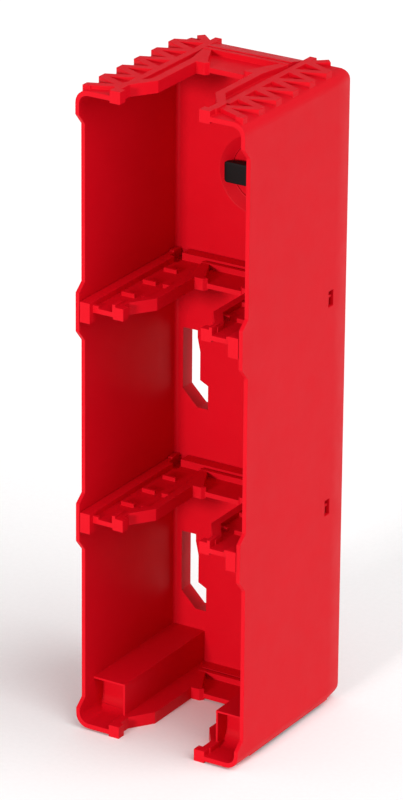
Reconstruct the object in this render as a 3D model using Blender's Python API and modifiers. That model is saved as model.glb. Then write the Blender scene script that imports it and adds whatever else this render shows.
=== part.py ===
"""Battery rack: a moulded body with three open bays, two snap-in shelves and a turning lock in the back."""

import math

import bmesh
import bpy
from mathutils import Matrix

MM = 0.001

# Whole rack. X runs across the open front, Z is up, and depths run back from the front edge.
RACK_WIDTH = 110 * MM
RACK_DEPTH = 117.5 * MM
WALL = 2.5 * MM
PLATE = 3 * MM
LEVEL_PITCH = 129.5 * MM
BAYS = 3
CORNER_RADIUS = 8 * MM
CLEARANCE = 0.3 * MM
OVERRUN = 1 * MM
SINK = 0.8 * MM
ARC_STEPS = 6
SNAP_DIGITS = 7
MERGE_DISTANCE = 0.001 * MM
SMOOTH_ANGLE = 30

# The back: a panel set in from the rear rim, and side walls that draw in behind it.
REAR_HOLLOW = 11.5 * MM
REAR_DRAW_IN = 2 * MM
REAR_DRAW_LENGTH = 16.5 * MM
REAR_DRAW_POWER = 1.7
REAR_DRAW_STEPS = 6
REAR_TOP_RADIUS = 8 * MM
REAR_BOTTOM_RADIUS = 2 * MM
INNER_FILLET = 2.2 * MM

# The front edge stands forward at each level and is set back between them.
EDGE_SETBACK = 6 * MM
EDGE_ABOVE = 10 * MM
EDGE_BELOW = 13.5 * MM
EDGE_SLOPE_ABOVE = 5 * MM
EDGE_SLOPE_BELOW = 7 * MM

# The battery slot in the top, the floor and both shelves, and the raised rail round it.
RAIL_WIDTH = 5 * MM
RAIL_HEIGHT = 7.4 * MM
RAIL_DROP = 1.2 * MM
THROAT_HALF = 25.5 * MM
SHOULDER_HALF = 28.2 * MM
NECK_HALF = 18.5 * MM
HORN_WIDTH = 7 * MM
HORN_DEPTH = 5.8 * MM
FUNNEL_START = 14.4 * MM
FUNNEL_END = 28.5 * MM
FUNNEL_START_LAG = 1.7 * MM
FUNNEL_END_LAG = 2.5 * MM
CATCH_HALF = 11 * MM
CATCH_CHAMFER = 2.2 * MM
CATCH_DEPTH = 3.5 * MM
SLOT_REST = 20 * MM
RAIL_FLARE = 4.2 * MM
BAR_DEPTH = 12.9 * MM
BAR_HEIGHT = 3.4 * MM
BAR_GROOVE_SETBACK = 2.9 * MM
BAR_GROOVE_WIDTH = 1.5 * MM
BAR_GROOVE_DEPTH = 0.8 * MM
BAR_LAND = 1.4 * MM
BAR_FALL = 3 * MM

# Ribs on the top plate.
TOP_RIB_HEIGHT = 2.2 * MM
ZIGZAG_WIDTH = 5 * MM
ZIGZAG_WALL_GAP = 3 * MM
ZIGZAG_START = 4.3 * MM
ZIGZAG_FLAT = 3 * MM
ZIGZAG_TURNS = 11
ZIGZAG_END_GAP = 8.1 * MM
LONG_RIB_GAP = 5.5 * MM
LONG_RIB_WIDTH = 4.5 * MM
REAR_BUMP_INSET = 10 * MM
REAR_BUMP_SETBACK = 5 * MM

# Side boxes and the smooth deck on the floor.
BOX_WIDTH = 21.5 * MM
BOX_FRONT = 15.2 * MM
BOX_HEIGHT = 23 * MM
BOX_WALL = 2 * MM
BOX_RIM = 1.3 * MM
BOX_RECESS_DEPTH = 10.3 * MM
COVE_RADIUS = 9 * MM

# The windows in the back of the two lower bays, down from the shelf above and in from the side wall.
WINDOW_TOP = 44 * MM
WINDOW_BOTTOM = 92.2 * MM
WINDOW_WALL_GAP = 5 * MM
WINDOW_TOP_WIDTH = 9.7 * MM
WINDOW_WAIST_WIDTH = 11.6 * MM
WINDOW_FOOT_WIDTH = 17.1 * MM
WINDOW_LEAN_START = 4.4 * MM
WINDOW_LEAN_END = 13 * MM
WINDOW_NOSE = 17.5 * MM
WINDOW_CORNER = 10 * MM
COLLAR_WALL = 2 * MM
COLLAR_SETBACK = 3.5 * MM

# The round dish and the lock that turns in it.
DISH_BELOW_TOP = 70.3 * MM
DISH_RADIUS = 23.8 * MM
DISH_FLOOR_RADIUS = 18.2 * MM
DISH_DEPTH = 5.2 * MM
DISH_STEP = 1 * MM
DISH_LEDGE = 0.4 * MM
DISH_FLOOR = 2 * MM
DISH_SIDE = 2.3 * MM
HUB_RADIUS = 10 * MM
HUB_THICKNESS = 3.2 * MM
GRIP_HALF_LENGTH = 19 * MM
GRIP_BASE_HALF_LENGTH = 12 * MM
GRIP_HEIGHT = 12.4 * MM
GRIP_PROUD = 4 * MM
GRIP_TIP_DEPTH = 4.5 * MM
GRIP_ROUNDING = 1.8 * MM
STEM_RADIUS = 5 * MM
STEM_SQUARE = 6.6 * MM
WAVE_WASHER_THICKNESS = 0.5 * MM
WAVE_WASHER_RADIUS = 9 * MM
THRUST_WASHER_THICKNESS = 0.8 * MM
THRUST_WASHER_RADIUS = 11 * MM
CAM_THICKNESS = 2.2 * MM
CAM_LENGTH = 40 * MM
CAM_WIDTH = 12 * MM
LOCK_WASHER_THICKNESS = 0.6 * MM
LOCK_WASHER_RADIUS = 4.6 * MM
LOCK_SCREW_RADIUS = 1.5 * MM
LOCK_SCREW_LENGTH = 7 * MM
LOCK_HEAD_RADIUS = 4 * MM
LOCK_HEAD_HEIGHT = 1.6 * MM
DRIVE_RADIUS = 1.3 * MM
DRIVE_DEPTH_SHARE = 0.6
HEAD_TOP_SHARE = 0.8

# The snap-in shelves.
FLANGE_WIDTH = 6.7 * MM
FLANGE_ABOVE = 5 * MM
FLANGE_BELOW = 7.3 * MM
FLANGE_WALL = 1.8 * MM
FLANGE_FACE = 2 * MM
ARM_SETBACK = 3.7 * MM
BEAM_DEPTH = 8.2 * MM
BEAM_DROP = 5.5 * MM
BEAM_RISE = 7.4 * MM
BEAM_CORNER = 2.6 * MM
CROSS_RIB_WIDTH = 2 * MM
CROSS_RIB_HEIGHT = 2.4 * MM
CROSS_RIB_FIRST = 28.5 * MM
CROSS_RIB_STEP = 22.5 * MM
OUTER_RIB_GAP = 2.9 * MM
OUTER_RIB_LENGTH = 8.8 * MM
INNER_RIB_SINK = 1 * MM
INNER_RIB_LENGTH = 6.6 * MM
NUB_WIDTH = 3.5 * MM
NUB_DEPTH = 2.3 * MM
NUB_HEIGHT = 1.5 * MM
SPUR_WIDTH = 2 * MM
SPUR_DEPTH = 8 * MM
SPUR_RISE = 1.5 * MM
POCKET_INSET = 2 * MM
POCKET_WIDTH = 5.5 * MM
POCKET_HEIGHT = 5 * MM
POCKET_DROP = 0.3 * MM
POCKET_LENGTH = 13 * MM
POCKET_IN_PANEL = 1.5 * MM

# Snap windows in the side walls, the barbs in them and the ledges under the flanges.
SNAP_SETBACK = 9.1 * MM
SNAP_WIDTH = 5.2 * MM
SNAP_BELOW = 7 * MM
SNAP_ABOVE = 2.7 * MM
BARB_LENGTH = 4 * MM
BARB_TOP = 0.5 * MM
BARB_HEIGHT = 2.4 * MM
BARB_OUT = 1.8 * MM
LEDGE_OUT = 1.5 * MM
LEDGE_HEIGHT = 2 * MM
LEDGE_FRONT = 9 * MM

# Screws that hold the shelves through the back panel.
SHELF_SCREW_INSET = 10.5 * MM
SHELF_SCREW_DROP = 1.2 * MM
SHELF_SCREW_RADIUS = 1.6 * MM
SHELF_SCREW_LENGTH = 8 * MM
SHELF_HEAD_RADIUS = 3.6 * MM
SHELF_HEAD_HEIGHT = 2 * MM

# Ribs and hook cleats on the back, inside the rear rim.
BACK_RIB = 2 * MM
BACK_RIB_SETBACK = 2.5 * MM
BACK_RIB_ABOVE = 12 * MM
BACK_RIB_BELOW = 10 * MM
CLEAT_SPAN = (7 * MM, 26 * MM)
CLEAT_BELOW = 62 * MM
CLEAT_THICKNESS = 2.5 * MM
CLEAT_LIP = 7 * MM

RACK_RED = "#C8202C"
KNOB_BLACK = "#1A1A1C"
ZINC = "#B4B6B8"
SPRING_STEEL = "#8E9194"

# Depths and heights that follow from the sizes above.
HALF_WIDTH = RACK_WIDTH / 2
INNER_HALF = HALF_WIDTH - WALL
BASE = RAIL_DROP
TOP = BASE + BAYS * LEVEL_PITCH + PLATE
PANEL_BACK = RACK_DEPTH - REAR_HOLLOW
PANEL_FRONT = PANEL_BACK - WALL
BAR_FRONT = PANEL_FRONT - BAR_DEPTH
SLOT_END = BAR_FRONT - SLOT_REST
SHELF_HALF = INNER_HALF - CLEARANCE
SHELF_BACK = PANEL_FRONT - CLEARANCE
FLANGE_INNER = SHELF_HALF - FLANGE_WIDTH
POCKET_SPAN = (FLANGE_INNER - POCKET_INSET, FLANGE_INNER - POCKET_INSET + POCKET_WIDTH)
SHELF_SCREW_X = FLANGE_INNER - SHELF_SCREW_INSET
RAIL_OUTER = NECK_HALF + RAIL_WIDTH
LONG_RIB_INNER = RAIL_OUTER + LONG_RIB_GAP
ZIGZAG_INNER = LONG_RIB_INNER + LONG_RIB_WIDTH + ZIGZAG_WIDTH / 2 - SINK
ZIGZAG_OUTER = INNER_HALF - ZIGZAG_WALL_GAP
ZIGZAG_REAR = RACK_DEPTH - REAR_BUMP_SETBACK
ZIGZAG_STEP = (ZIGZAG_REAR - ZIGZAG_END_GAP - ZIGZAG_START) / ZIGZAG_TURNS
BOX_INNER = INNER_HALF - BOX_WIDTH
WINDOW_OUTER = INNER_HALF - WINDOW_WALL_GAP
WINDOW_SHOULDER = WINDOW_OUTER - WINDOW_TOP_WIDTH
WINDOW_WAIST = WINDOW_OUTER - WINDOW_WAIST_WIDTH
WINDOW_INNER = WINDOW_OUTER - WINDOW_FOOT_WIDTH
BEAM_FRONT = SHELF_BACK - BEAM_DEPTH
RIM_BACK = RACK_DEPTH - BACK_RIB_SETBACK
LOCK_Z = TOP - PLATE / 2 - DISH_BELOW_TOP
DISH_BASE = PANEL_FRONT + DISH_DEPTH
DISH_BACK = DISH_BASE + DISH_FLOOR
HUB_BACK = DISH_BASE - WAVE_WASHER_THICKNESS - 2 * CLEARANCE
HUB_FRONT = HUB_BACK - HUB_THICKNESS
THRUST_FRONT = DISH_BACK + CLEARANCE
CAM_FRONT = THRUST_FRONT + THRUST_WASHER_THICKNESS + CLEARANCE
CAM_BACK = CAM_FRONT + CAM_THICKNESS
LOCK_WASHER_FRONT = CAM_BACK + CLEARANCE
LOCK_HEAD_SEAT = LOCK_WASHER_FRONT + LOCK_WASHER_THICKNESS + CLEARANCE

rack = bpy.data.collections.new("battery_rack")
cutters = bpy.data.collections.new("cutters")


def clear_scene():
    """Remove the startup objects and link the two collections."""
    for old in list(bpy.data.objects):
        bpy.data.objects.remove(old)
    for group in (rack, cutters):
        bpy.context.scene.collection.children.link(group)


def level_base(level):
    """Height of the underside of a level's plate: 0 is the floor and BAYS is the top."""
    return BASE + level * LEVEL_PITCH


def level_middle(level):
    """Height of the middle of a level's plate."""
    return level_base(level) + PLATE / 2


def material(name, colour, roughness, metallic):
    """A plain Principled material from a hex colour."""
    made = bpy.data.materials.new(name)
    made.use_nodes = True
    shader = made.node_tree.nodes["Principled BSDF"]
    channels = [int(colour[i:i + 2], 16) / 255 for i in (1, 3, 5)]
    linear = [((c + 0.055) / 1.055) ** 2.4 if c > 0.04045 else c / 12.92 for c in channels]
    shader.inputs["Base Color"].default_value = (*linear, 1)
    shader.inputs["Roughness"].default_value = roughness
    shader.inputs["Metallic"].default_value = metallic
    return made


def mesh_object(name, shape):
    """Make an object from a bmesh: faces point out, and points snap so that level faces are exactly level."""
    for vertex in shape.verts:
        vertex.co = [round(value, SNAP_DIGITS) for value in vertex.co]
    bmesh.ops.recalc_face_normals(shape, faces=shape.faces)
    mesh = bpy.data.meshes.new(name)
    shape.to_mesh(mesh)
    shape.free()
    mesh.shade_smooth()
    mesh.set_sharp_from_angle(angle=math.radians(SMOOTH_ANGLE))
    made = bpy.data.objects.new(name, mesh)
    cutters.objects.link(made)
    return made


def across(axis, u, v, w):
    """Place outline point (u, v) and run w so that the run lies along the axis."""
    x, depth, z = {"X": (w, u, v), "Y": (u, w, v), "Z": (u, v, w)}[axis]
    return x, depth - RACK_DEPTH / 2, z


def prism(name, axis, outline, start, end):
    """A straight prism along an axis, from a flat outline filled and extruded."""
    curve = bpy.data.curves.new(name, "CURVE")
    curve.dimensions = "2D"
    curve.fill_mode = "BOTH"
    curve.extrude = (end - start) / 2
    spline = curve.splines.new("POLY")
    spline.points.add(len(outline) - 1)
    for point, (u, v) in zip(spline.points, outline):
        point.co = (u, v, 0, 1)
    spline.use_cyclic_u = True
    guide = bpy.data.objects.new(name, curve)
    cutters.objects.link(guide)
    graph = bpy.context.evaluated_depsgraph_get()
    flat = bpy.data.meshes.new_from_object(guide.evaluated_get(graph))
    bpy.data.objects.remove(guide)
    shape = bmesh.new()
    shape.from_mesh(flat)
    bmesh.ops.remove_doubles(shape, verts=shape.verts, dist=MERGE_DISTANCE)
    middle = (start + end) / 2
    for vertex in shape.verts:
        u, v, w = vertex.co
        vertex.co = across(axis, u, v, middle + w)
    return mesh_object(name, shape)


def box(name, x, depth, z):
    """A box between pairs of X, depth and Z."""
    size = [span[1] - span[0] for span in (x, depth, z)]
    centre = across("Z", sum(x) / 2, sum(depth) / 2, sum(z) / 2)
    shape = bmesh.new()
    bmesh.ops.create_cube(shape, size=1, matrix=Matrix.Translation(centre) @ Matrix.Diagonal((*size, 1)))
    return mesh_object(name, shape)


def disc(name, centre, radius, depths, end_radius=None, segments=48):
    """A cylinder or cone along the depth, round a point (x, z)."""
    shape = bmesh.new()
    x, z = centre
    place = Matrix.Translation(across("Y", x, z, sum(depths) / 2)) @ Matrix.Rotation(-math.pi / 2, 4, "X")
    bmesh.ops.create_cone(
        shape,
        cap_ends=True,
        segments=segments,
        radius1=radius,
        radius2=radius if end_radius is None else end_radius,
        depth=depths[1] - depths[0],
        matrix=place,
    )
    return mesh_object(name, shape)


def loft(name, sections):
    """Join rounded rectangles across the depth, each (depth, half width, low, high, radius)."""
    shape = bmesh.new()
    rings = []
    for depth, half, low, high, radius in sections:
        outline = rounded_rectangle(half, low, high, radius)
        rings.append([shape.verts.new(across("Y", x, z, depth)) for x, z in outline])
    for near, far in zip(rings, rings[1:]):
        for i in range(len(near)):
            shape.faces.new((near[i - 1], near[i], far[i], far[i - 1]))
    shape.faces.new(rings[0])
    shape.faces.new(rings[-1])
    return mesh_object(name, shape)


def arc(centre, radius, start, end, steps=ARC_STEPS):
    """Points on an arc between two angles in degrees."""
    angles = [math.radians(start + (end - start) * i / steps) for i in range(steps + 1)]
    return [(centre[0] + radius * math.cos(a), centre[1] + radius * math.sin(a)) for a in angles]


def rounded_rectangle(half, low, high, radius):
    """Outline of a rectangle centred on X with rounded corners."""
    corners = [(half, high, 0), (-half, high, 90), (-half, low, 180), (half, low, 270)]
    outline = []
    for x, z, turn in corners:
        centre = (x - math.copysign(radius, x), z - radius if z == high else z + radius)
        outline += arc(centre, radius, turn, turn + 90)
    return outline


def mirrored(outline):
    """The same outline on the other side of the rack."""
    return [(-x, v) for x, v in outline]


def both_sides(name, span, depths, heights):
    """A box for a span of X on the right, and its twin on the left."""
    return [
        box(f"{name}_right", span, depths, heights),
        box(f"{name}_left", (-span[1], -span[0]), depths, heights),
    ]


def both_outlines(name, axis, outline, start, end):
    """Make a prism from an outline on the right, and its twin on the left."""
    return [
        prism(f"{name}_right", axis, outline, start, end),
        prism(f"{name}_left", axis, mirrored(outline), start, end),
    ]


def combine(target, operation, tools):
    """Add, subtract or intersect a group of tools with one exact Boolean."""
    group = bpy.data.collections.new(f"{target.name}_{operation.lower()}")
    cutters.children.link(group)
    for tool in tools:
        cutters.objects.unlink(tool)
        group.objects.link(tool)
        tool.hide_render = True
        tool.display_type = "WIRE"
    step = target.modifiers.new(operation.title(), "BOOLEAN")
    step.operation = operation
    step.operand_type = "COLLECTION"
    step.collection = group
    step.solver = "EXACT"
    return target


def finish(piece, name, look):
    """Give a finished piece its name and material and put it with the parts."""
    cutters.objects.unlink(piece)
    rack.objects.link(piece)
    piece.name = name
    piece.data.materials.append(look)
    return piece


def draw_in(depth):
    """How far the side walls have drawn in at a depth."""
    along = max(0, (depth - RACK_DEPTH + REAR_DRAW_LENGTH) / REAR_DRAW_LENGTH)
    return REAR_DRAW_IN * along ** REAR_DRAW_POWER


def drawn_sections(start, end, half, low, high, radius):
    """Sections that follow the draw-in of the side walls between two depths."""
    depths = [start + (end - start) * i / REAR_DRAW_STEPS for i in range(REAR_DRAW_STEPS + 1)]
    return [(depth, half - draw_in(depth), low, high, radius) for depth in depths]


def side_profile():
    """The rack from the side, as (depth, z): the stepped front edge and the rounded rear corners."""
    front = []
    for level in range(BAYS + 1):
        middle = level_middle(level)
        front += [
            (EDGE_SETBACK, middle - EDGE_BELOW - EDGE_SLOPE_BELOW),
            (0, middle - EDGE_BELOW),
            (0, middle + EDGE_ABOVE),
            (EDGE_SETBACK, middle + EDGE_ABOVE + EDGE_SLOPE_ABOVE),
        ]
    front = [(0, BASE - OVERRUN)] + front[2:-2] + [(0, TOP + OVERRUN)]
    top_centre = (RACK_DEPTH - REAR_TOP_RADIUS, TOP - REAR_TOP_RADIUS)
    bottom_centre = (RACK_DEPTH - REAR_BOTTOM_RADIUS, BASE + REAR_BOTTOM_RADIUS)
    rear = [(top_centre[0], TOP + OVERRUN)]
    rear += arc(top_centre, REAR_TOP_RADIUS, 90, 0)
    rear += arc(bottom_centre, REAR_BOTTOM_RADIUS, 0, -90)
    rear += [(bottom_centre[0], BASE - OVERRUN)]
    return front + rear


def rear_hollow():
    """The hollow behind the back panel, under the rounded rear corner."""
    radius = CORNER_RADIUS - WALL
    low = BASE + PLATE
    high = TOP - PLATE
    sections = drawn_sections(PANEL_BACK, RACK_DEPTH + OVERRUN, INNER_HALF, low, high, radius)
    hollow = loft("rear_hollow", sections)
    centre = (RACK_DEPTH - REAR_TOP_RADIUS, TOP - REAR_TOP_RADIUS)
    outline = [(PANEL_BACK - OVERRUN, BASE), (PANEL_BACK - OVERRUN, TOP), (centre[0], TOP)]
    outline += arc(centre, REAR_TOP_RADIUS - WALL, 90, 0)
    outline += [(RACK_DEPTH + 2 * OVERRUN, centre[1]), (RACK_DEPTH + 2 * OVERRUN, BASE)]
    limit = prism("rear_hollow_limit", "X", outline, -RACK_WIDTH, RACK_WIDTH)
    return combine(hollow, "INTERSECT", [limit])


def front_hollow():
    """The open bays, with a fillet where the walls meet the back panel."""
    low = BASE + PLATE
    high = TOP - PLATE
    radius = CORNER_RADIUS - WALL
    sections = [(-OVERRUN, INNER_HALF, low, high, radius)]
    for depth, side in arc((PANEL_FRONT - INNER_FILLET, INNER_HALF - INNER_FILLET), INNER_FILLET, 90, 0):
        inset = INNER_HALF - side
        sections.append((depth, side, low + inset, high - inset, radius))
    return loft("front_hollow", sections)


def rail_outline(front):
    """Right half of the raised rail round a slot whose front edge is at this depth."""
    horn = front + HORN_DEPTH
    inner = [
        (THROAT_HALF, front),
        (THROAT_HALF, horn),
        (SHOULDER_HALF, horn),
        (SHOULDER_HALF, FUNNEL_START),
        (NECK_HALF, FUNNEL_END),
        (NECK_HALF, SLOT_END - CATCH_CHAMFER),
        (CATCH_HALF + CATCH_CHAMFER, SLOT_END - CATCH_CHAMFER),
        (CATCH_HALF, SLOT_END + CLEARANCE),
        (CATCH_HALF + CATCH_CHAMFER, SLOT_END - CATCH_CHAMFER + CATCH_DEPTH),
        (NECK_HALF + RAIL_FLARE, BAR_FRONT + SINK),
    ]
    outer = [
        (RAIL_OUTER + RAIL_FLARE, BAR_FRONT + SINK),
        (RAIL_OUTER, SLOT_END),
        (RAIL_OUTER, FUNNEL_END + FUNNEL_END_LAG),
        (SHOULDER_HALF + RAIL_WIDTH, FUNNEL_START + FUNNEL_START_LAG),
        (SHOULDER_HALF + RAIL_WIDTH, horn),
        (THROAT_HALF + HORN_WIDTH, horn),
        (THROAT_HALF + HORN_WIDTH, front),
    ]
    return inner + outer


def slot_edge(front):
    """Right half of the cut edge of a slotted plate, hidden under the middle of the rail."""
    return [
        (THROAT_HALF + HORN_WIDTH / 2, front),
        (THROAT_HALF + HORN_WIDTH / 2, front + HORN_DEPTH / 2),
        (SHOULDER_HALF + RAIL_WIDTH / 2, FUNNEL_START + FUNNEL_START_LAG / 2),
        (NECK_HALF + RAIL_WIDTH / 2, FUNNEL_END + FUNNEL_END_LAG / 2),
        (NECK_HALF + RAIL_WIDTH / 2, SLOT_END - CATCH_CHAMFER / 2),
        (CATCH_HALF + CATCH_DEPTH, SLOT_END),
    ]


def slot_cutter(name, level):
    """The slot that runs in from the front edge of a plate."""
    half = slot_edge(-OVERRUN)
    outline = half + mirrored(half)[::-1]
    return prism(name, "Z", outline, level_base(level) - OVERRUN, level_base(level) + PLATE + OVERRUN)


def rails(name, level, front):
    """Both rails of a level."""
    low = level_base(level) - RAIL_DROP
    return both_outlines(f"{name}_rail", "Z", rail_outline(front), low, low + RAIL_HEIGHT)


def rear_bar(name, level, back):
    """The raised bar behind a slot, with the groove along its top."""
    half = RAIL_OUTER + RAIL_FLARE
    top = level_base(level) + PLATE + BAR_HEIGHT
    bar = box(f"{name}_bar", (-half, half), (BAR_FRONT, back), (level_base(level) + SINK, top))
    groove_front = BAR_FRONT + BAR_GROOVE_SETBACK
    groove = box(
        f"{name}_groove",
        (-RACK_WIDTH, RACK_WIDTH),
        (groove_front, groove_front + BAR_GROOVE_WIDTH),
        (top - BAR_GROOVE_DEPTH, top + OVERRUN),
    )
    return combine(bar, "DIFFERENCE", [groove])


def top_bar():
    """The bar behind the top slot, which falls away behind its groove to the rounded rear edge."""
    back = RACK_DEPTH - REAR_TOP_RADIUS
    start = BAR_FRONT + BAR_GROOVE_SETBACK + BAR_GROOVE_WIDTH + BAR_LAND
    top = TOP + BAR_HEIGHT
    past = OVERRUN * BAR_FALL / (back - start)
    above = [
        (start - OVERRUN, top + past),
        (back + OVERRUN, top - BAR_FALL - past),
        (back + OVERRUN, top + OVERRUN),
        (start - OVERRUN, top + OVERRUN),
    ]
    slope = prism("top_bar_slope", "X", above, -RACK_WIDTH, RACK_WIDTH)
    return combine(rear_bar("top", BAYS, back), "DIFFERENCE", [slope])


def beside(path, distance, closed=False):
    """A path moved sideways by a distance with mitred corners, to the left as it runs."""
    ends = [path[-1], path[0]] if closed else [path[0], path[-1]]
    moved = []
    for before, point, after in zip(ends[:1] + path[:-1], path, path[1:] + ends[1:]):
        sides = []
        for a, b in ((before, point), (point, after)):
            if a != b:
                length = math.dist(a, b)
                sides.append(((a[1] - b[1]) / length, (b[0] - a[0]) / length))
        mitre = (sides[0][0] + sides[-1][0], sides[0][1] + sides[-1][1])
        reach = distance / (mitre[0] * sides[0][0] + mitre[1] * sides[0][1])
        moved.append((point[0] + mitre[0] * reach, point[1] + mitre[1] * reach))
    return moved


def strip_outline(path, width):
    """Outline of a band that follows a path."""
    return beside(path, width / 2) + beside(path, -width / 2)[::-1]


def top_ribs():
    """The zigzag rib, the straight rib and the small rear bump on each side of the top plate."""
    low = TOP - PLATE + CLEARANCE
    high = TOP + TOP_RIB_HEIGHT
    path = []
    for i in range(ZIGZAG_TURNS + 1):
        x = ZIGZAG_INNER if i % 2 else ZIGZAG_OUTER
        middle = ZIGZAG_START + i * ZIGZAG_STEP
        path += [(x, middle - ZIGZAG_FLAT / 2), (x, middle + ZIGZAG_FLAT / 2)]
    path.append((INNER_HALF - REAR_BUMP_INSET, ZIGZAG_REAR))
    zigzag = both_outlines("zigzag", "Z", strip_outline(path, ZIGZAG_WIDTH), low, high)
    span = (LONG_RIB_INNER, LONG_RIB_INNER + LONG_RIB_WIDTH)
    start = FUNNEL_START + RAIL_WIDTH
    return zigzag + both_sides("straight_rib", span, (start, ZIGZAG_REAR + SINK), (low, high))


def floor_box(name, side):
    """A hollow box in the corner of the floor with a coved recess in its front, side 1 right or -1 left."""
    low = BASE + PLATE - SINK
    high = BASE + PLATE + BOX_HEIGHT
    inner = side * BOX_INNER
    outer = side * (INNER_HALF + SINK)
    body = box(name, sorted((inner, outer)), (BOX_FRONT, PANEL_FRONT + SINK), (low, high))
    span = sorted((inner + side * BOX_RIM, outer + side * OVERRUN))
    back = BOX_FRONT + BOX_RECESS_DEPTH
    floor = BASE + PLATE
    recess = [(BOX_FRONT - OVERRUN, low - OVERRUN), (back - COVE_RADIUS, low - OVERRUN)]
    recess += arc((back - COVE_RADIUS, floor + COVE_RADIUS), COVE_RADIUS, -90, 0)
    recess += [(back, high - BOX_RIM), (BOX_FRONT - OVERRUN, high - BOX_RIM)]
    return combine(body, "DIFFERENCE", [prism(f"{name}_recess", "X", recess, *span)])


def floor_deck():
    """The smooth deck between each rail and its box, level with the rails."""
    low = BASE + SINK
    high = BASE - RAIL_DROP + RAIL_HEIGHT
    outline = [
        (BOX_INNER + SINK, BOX_FRONT),
        (SHOULDER_HALF + RAIL_WIDTH / 2, BOX_FRONT),
        (NECK_HALF + RAIL_WIDTH / 2, FUNNEL_END + FUNNEL_END_LAG / 2),
        (NECK_HALF + RAIL_WIDTH / 2, SLOT_END),
        (NECK_HALF + RAIL_WIDTH / 2 + RAIL_FLARE, BAR_FRONT),
        (NECK_HALF + RAIL_WIDTH / 2 + RAIL_FLARE, PANEL_FRONT + SINK),
        (BOX_INNER + SINK, PANEL_FRONT + SINK),
    ]
    return both_outlines("floor_deck", "Z", outline, low, high)


def box_hollows():
    """The hollows of the floor boxes, open underneath."""
    span = (BOX_INNER + BOX_WALL, INNER_HALF - BOX_WALL / 2)
    depths = (BOX_FRONT + BOX_RECESS_DEPTH + BOX_WALL, PANEL_FRONT - BOX_WALL)
    heights = (-OVERRUN, BASE + PLATE + BOX_HEIGHT - BOX_WALL)
    return both_sides("box_hollow", span, depths, heights)


def window_outline(level):
    """Right-hand window of the bay below a level, as (x, z), running clockwise."""
    top = level_middle(level) - WINDOW_TOP
    foot = level_middle(level) - WINDOW_BOTTOM
    step = WINDOW_WAIST - WINDOW_INNER
    return [
        (WINDOW_OUTER, top),
        (WINDOW_OUTER, foot + WINDOW_CORNER),
        (WINDOW_OUTER - WINDOW_CORNER, foot),
        (WINDOW_INNER, foot),
        (WINDOW_INNER, foot + WINDOW_NOSE - step / 2),
        (WINDOW_WAIST, foot + WINDOW_NOSE),
        (WINDOW_WAIST, top - WINDOW_LEAN_END),
        (WINDOW_SHOULDER, top - WINDOW_LEAN_START),
        (WINDOW_SHOULDER, top),
    ]


def window_parts(level):
    """(collars, cutters) of the two windows in the bay below a level."""
    back = RACK_DEPTH - COLLAR_SETBACK
    outline = window_outline(level)
    rim = beside(outline, COLLAR_WALL, closed=True)
    collars = both_outlines(f"collar_{level}", "Y", rim, PANEL_BACK - SINK, back)
    holes = both_outlines(f"window_{level}", "Y", outline, PANEL_FRONT - OVERRUN, back + OVERRUN)
    return collars, holes


def dish_parts():
    """(cup, cutters) of the round dish: a cone, a step down to its flat floor and a centre hole."""
    centre = (0, LOCK_Z)
    cup_depths = (PANEL_BACK - SINK, DISH_BACK)
    cup = disc("dish_cup", centre, DISH_RADIUS, cup_depths, DISH_FLOOR_RADIUS + DISH_SIDE, segments=64)
    cone_end = DISH_BASE - DISH_STEP
    slope = (DISH_RADIUS - DISH_FLOOR_RADIUS) / (cone_end - PANEL_FRONT)
    mouth = DISH_RADIUS + slope * OVERRUN
    bowl = disc("dish_bowl", centre, mouth, (PANEL_FRONT - OVERRUN, cone_end), DISH_FLOOR_RADIUS, segments=64)
    well_radius = DISH_FLOOR_RADIUS - DISH_LEDGE
    well = disc("dish_well", centre, well_radius, (cone_end - SINK, DISH_BASE), segments=64)
    hole = disc("dish_hole", centre, STEM_RADIUS + CLEARANCE, (DISH_BASE - OVERRUN, DISH_BACK + OVERRUN))
    return [cup], [bowl, well, hole]


def side_features(level):
    """(ledges, cutters) on the side walls and the panel at a shelf."""
    middle = level_middle(level)
    top = middle - FLANGE_BELOW - CLEARANCE
    ledge_span = (INNER_HALF - LEDGE_OUT, INNER_HALF + SINK)
    ledge_depths = (LEDGE_FRONT, PANEL_FRONT + SINK)
    ledges = both_sides(f"ledge_{level}", ledge_span, ledge_depths, (top - LEDGE_HEIGHT, top))
    snap_span = (INNER_HALF - OVERRUN, HALF_WIDTH + OVERRUN)
    snap_depths = (PANEL_FRONT - SNAP_SETBACK, PANEL_FRONT - SNAP_SETBACK + SNAP_WIDTH)
    snap_heights = (middle - SNAP_BELOW, middle + SNAP_ABOVE)
    snaps = both_sides(f"snap_window_{level}", snap_span, snap_depths, snap_heights)
    pocket_depths = (PANEL_FRONT - OVERRUN, PANEL_FRONT + POCKET_IN_PANEL)
    pocket_heights = (middle - POCKET_DROP, middle - POCKET_DROP + POCKET_HEIGHT)
    pockets = both_sides(f"pocket_{level}", POCKET_SPAN, pocket_depths, pocket_heights)
    holes = [
        disc(
            f"screw_hole_{level}_{side}",
            (side * SHELF_SCREW_X, middle - SHELF_SCREW_DROP),
            SHELF_SCREW_RADIUS + CLEARANCE,
            (PANEL_FRONT - OVERRUN, PANEL_BACK + OVERRUN),
            segments=24,
        )
        for side in (-1, 1)
    ]
    return ledges, snaps + pockets + holes


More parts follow.
